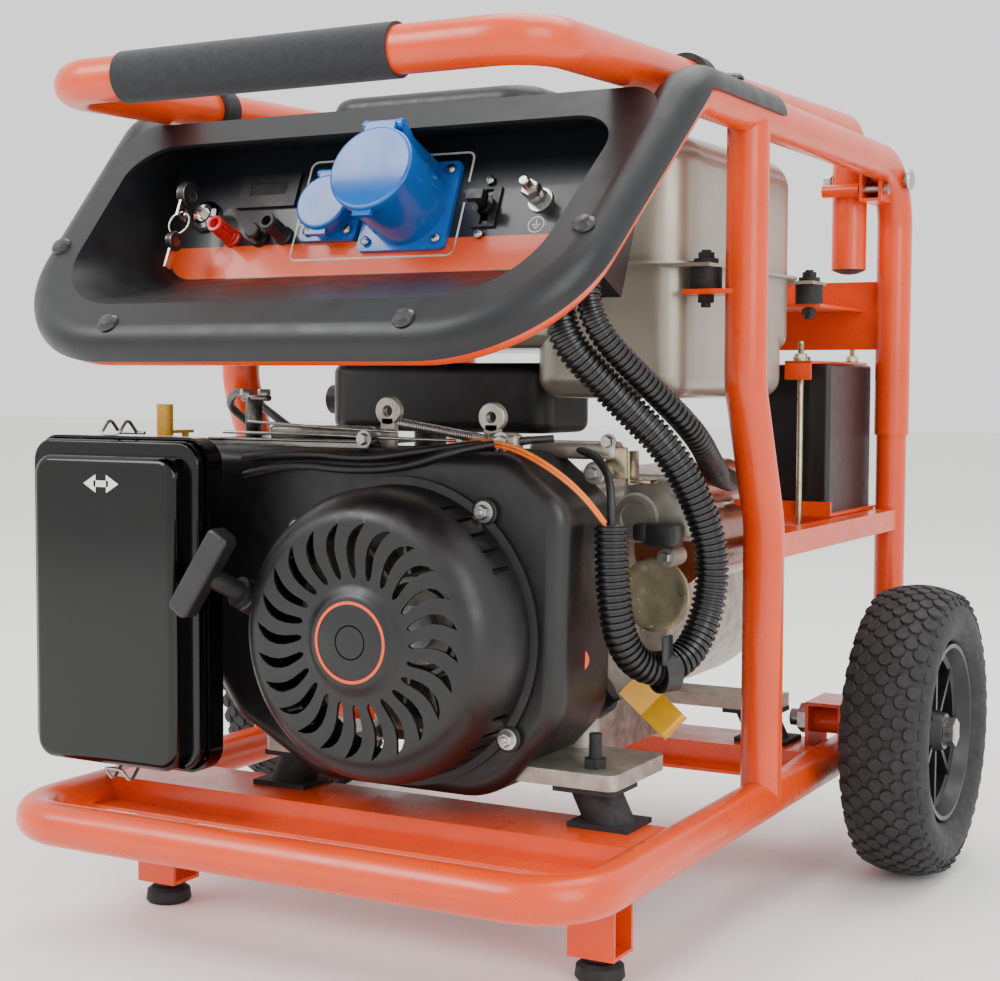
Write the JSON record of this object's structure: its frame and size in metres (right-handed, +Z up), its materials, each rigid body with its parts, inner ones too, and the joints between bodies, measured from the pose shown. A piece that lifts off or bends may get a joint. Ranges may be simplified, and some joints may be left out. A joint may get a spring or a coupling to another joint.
{
  "type": "portable generator",
  "caption": "Portable petrol generator in an open tube frame with wheels, fold-over carrying handle, control panel, recoil and electric start.",
  "frame": {"origin": "on the ground under the middle of the machine", "axes": "+Z up, -Y towards the person who faces the control panel, +X to that person's right"},
  "size_m": [0.732, 0.7574, 0.7041],
  "materials": {
    "frame_paint": "satin powder coat",
    "foot_rubber": "matt",
    "zinc": "bright zinc",
    "panel_plastic": "satin moulded",
    "black_screw": "satin",
    "plate_print": "satin print with an orange band",
    "black_sheet": "satin",
    "chrome_lock": "polished",
    "black_plastic": "satin",
    "terminal_plastic": "gloss",
    "blue_plastic": "gloss",
    "tank_paint": "metallic satin",
    "battery_plastic": "satin",
    "clamp_paint": "satin powder coat",
    "cast_aluminium": "as cast",
    "shroud_paint": "satin",
    "starter_paint": "copper brown lacquer",
    "tyre": "matt",
    "rim_plastic": "satin",
    "grip_foam": "foam",
    "key_metal": "nickel",
    "steel": "machined",
    "choke_plastic": "gloss"
  },
  "bodies": {
    "frame": {"base_tube": "frame_paint", "upper_loop": "frame_paint", "front_uprights": "frame_paint", "crossmembers": "frame_paint", "tank_brackets": "frame_paint", "battery_shelf": "frame_paint", "weld_brackets": "frame_paint", "rubber_feet": "foot_rubber", "rubber_mounts": "foot_rubber", "frame_bolts": "zinc", "control_bracket": "zinc", "panel_bezel": "panel_plastic", "bezel_screws": "black_screw", "control_plate": "plate_print", "control_box": "black_sheet", "muffler": "black_sheet", "key_switch": "chrome_lock", "panel_meter": "black_plastic", "breaker_switch": "black_plastic", "tank_cover": "black_plastic", "wiring_conduit": "black_plastic", "filter_base": "black_plastic", "filter_cover": "black_plastic", "terminals": "terminal_plastic", "small_socket": "blue_plastic", "large_socket": "blue_plastic", "tank_lower": "tank_paint", "tank_upper": "tank_paint", "battery_case": "battery_plastic", "battery_clamp": "clamp_paint", "crankcase": "cast_aluminium", "cylinder_head": "cast_aluminium", "carburettor": "cast_aluminium", "alternator_housing": "cast_aluminium", "blower_shroud": "shroud_paint", "recoil_cover": "shroud_paint", "starter_motor": "starter_paint"},
    "handle": {"handle_hooks": "foot_rubber", "handle_tube": "frame_paint", "handle_grip": "grip_foam"},
    "wheel_right": {"tyre_right": "tyre", "rim_right": "rim_plastic"},
    "wheel_left": {"tyre_left": "tyre", "rim_left": "rim_plastic"},
    "lock_pin_right": {"lock_pin_right": "zinc"},
    "lock_pin_left": {"lock_pin_left": "zinc"},
    "key": {"ignition_key": "key_metal"},
    "key_ring": {"key_ring": "key_metal"},
    "dc_button": {"dc_button": "black_plastic"},
    "breaker_lever": {"breaker_lever": "black_plastic"},
    "small_lid": {"small_socket_lid": "blue_plastic"},
    "large_lid": {"large_socket_lid": "blue_plastic"},
    "fuel_cap": {"fuel_cap": "black_plastic"},
    "oil_cap": {"oil_cap": "black_plastic"},
    "recoil_grip": {"recoil_grip": "black_plastic"},
    "crank": {"crankshaft": "steel", "flywheel": "cast_aluminium"},
    "choke": {"choke_lever": "choke_plastic"},
    "clip_top": {"clip_top": "zinc"},
    "clip_bottom": {"clip_bottom": "zinc"}
  },
  "joints": [
    {"name": "wheel_right_spin", "type": "hinge", "parent": "frame", "child": "wheel_right", "pos_m": [0.3275, 0.189, 0.13], "axis": [1, 0, 0], "continuous": true},
    {"name": "wheel_left_spin", "type": "hinge", "parent": "frame", "child": "wheel_left", "pos_m": [-0.3275, 0.189, 0.13], "axis": [1, 0, 0], "continuous": true},
    {"name": "handle_fold", "type": "hinge", "parent": "frame", "child": "handle", "pos_m": [0, 0.34, 0.64], "axis": [-1, 0, 0], "range_deg": [0, 180]},
    {"name": "lock_pin_right_pull", "type": "slide", "parent": "frame", "child": "lock_pin_right", "axis": [1, 0, 0], "range_m": [0, 0.015]},
    {"name": "lock_pin_left_pull", "type": "slide", "parent": "frame", "child": "lock_pin_left", "axis": [-1, 0, 0], "range_m": [0, 0.015]},
    {"name": "key_turn", "type": "hinge", "parent": "frame", "child": "key", "pos_m": [-0.175, -0.19087, 0.57719], "axis": [0, 0.9171, -0.3987], "range_deg": [0, 45]},
    {"name": "key_ring_swing", "type": "hinge", "parent": "key", "child": "key_ring", "pos_m": [-0.175, -0.22389, 0.579], "axis": [0, 0.9171, -0.3987], "range_deg": [-45, 0]},
    {"name": "dc_button_press", "type": "slide", "parent": "frame", "child": "dc_button", "axis": [0, 0.9171, -0.3987], "range_m": [0, 0.003], "stiffness_N_per_m": 400},
    {"name": "breaker_flip", "type": "hinge", "parent": "frame", "child": "breaker_lever", "pos_m": [0.094, -0.19247, 0.57352], "axis": [1, 0, 0], "range_deg": [0, 30]},
    {"name": "small_lid_open", "type": "hinge", "parent": "frame", "child": "small_lid", "pos_m": [-0.046, -0.19446, 0.60656], "axis": [-1, 0, 0], "range_deg": [0, 95]},
    {"name": "large_lid_open", "type": "hinge", "parent": "frame", "child": "large_lid", "pos_m": [0.025, -0.22983, 0.63556], "axis": [-1, 0, 0], "range_deg": [0, 105]},
    {"name": "fuel_cap_turn", "type": "hinge", "parent": "frame", "child": "fuel_cap", "pos_m": [0.118, 0.058, 0.65], "axis": [0, 0, 1], "range_deg": [0, 90]},
    {"name": "oil_cap_turn", "type": "hinge", "parent": "frame", "child": "oil_cap", "pos_m": [0.128, -0.118, 0.176], "axis": [0.8026, -0.2006, 0.5618], "range_deg": [0, 720]},
    {"name": "recoil_pull", "type": "slide", "parent": "frame", "child": "recoil_grip", "axis": [-0.3003, -0.8408, 0.4504], "range_m": [0, 0.5], "stiffness_N_per_m": 8},
    {"name": "crank_spin", "type": "hinge", "parent": "frame", "child": "crank", "pos_m": [0.042, 0, 0.25], "axis": [0, 1, 0], "continuous": true},
    {"name": "choke_swing", "type": "hinge", "parent": "frame", "child": "choke", "pos_m": [-0.183, -0.212, 0.362], "axis": [0, 0, 1], "range_deg": [0, 40]},
    {"name": "clip_top_swing", "type": "hinge", "parent": "frame", "child": "clip_top", "pos_m": [-0.187, -0.279, 0.3995], "axis": [-1, 0, 0], "range_deg": [0, 70]},
    {"name": "clip_bottom_swing", "type": "hinge", "parent": "frame", "child": "clip_bottom", "pos_m": [-0.187, -0.279, 0.1305], "axis": [1, 0, 0], "range_deg": [0, 70]}
  ],
  "couplings": [
    {"joint": "key_ring_swing", "follows": "key_turn", "ratio": -1}
  ]
}
